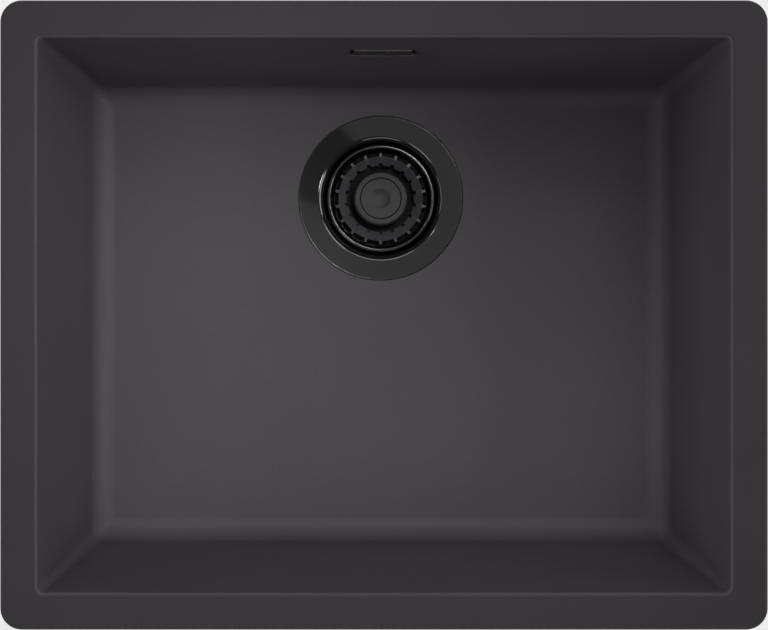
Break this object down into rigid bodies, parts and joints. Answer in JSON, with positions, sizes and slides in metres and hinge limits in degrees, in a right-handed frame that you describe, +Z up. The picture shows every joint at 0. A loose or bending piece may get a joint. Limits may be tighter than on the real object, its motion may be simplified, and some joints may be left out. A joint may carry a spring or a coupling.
{
  "type": "kitchen sink",
  "caption": "Single-bowl composite granite kitchen sink with a lift-out basket strainer in the floor, a covered overflow slot in the back wall and a threaded waste outlet.",
  "frame": {"origin": "centre of the bowl's mouth, in the plane of the flange's flat top face", "axes": "+X to the right along the length, +Y to the back where the overflow is, +Z up"},
  "size_m": [0.5, 0.41, 0.2792],
  "materials": {
    "granite": "smooth matte anthracite composite",
    "black_steel": "satin black coating on steel",
    "black_moulding": "satin black moulding",
    "seal_rubber": "soft matte black",
    "waste_plastic": "moulded black polypropylene",
    "pipe_plastic": "drawn grey polypropylene",
    "screw_steel": "turned stainless steel",
    "insert_brass": "turned brass"
  },
  "bodies": {
    "sink": {"sink_bowl": "granite", "strainer_cup": "black_steel", "overflow_screw": "black_steel", "overflow_cover": "black_moulding", "flange_gasket": "seal_rubber", "body_gasket": "seal_rubber", "overflow_gasket": "seal_rubber", "spigot_ring": "seal_rubber", "branch_seal": "seal_rubber", "waste_body": "waste_plastic", "overflow_elbow": "waste_plastic", "branch_nut": "waste_plastic", "overflow_pipe": "pipe_plastic", "clamp_screw": "screw_steel", "screw_washer": "screw_steel", "brass_insert": "insert_brass", "overflow_nut": "insert_brass"},
    "plug": {"plug_stem": "waste_plastic", "detent_ring": "seal_rubber", "plug_seal": "seal_rubber"},
    "basket": {"basket_cup": "black_steel", "fluted_ring": "black_moulding", "knob": "black_moulding", "knob_cap": "black_moulding", "knob_screw": "screw_steel"}
  },
  "joints": [
    {"name": "basket_lift", "type": "slide", "parent": "sink", "child": "plug", "axis": [0, 0, 1], "range_m": [0, 0.24]},
    {"name": "basket_turn", "type": "hinge", "parent": "plug", "child": "basket", "pos_m": [0, 0.08404, -0.2], "axis": [0, 0, 1], "continuous": true}
  ]
}
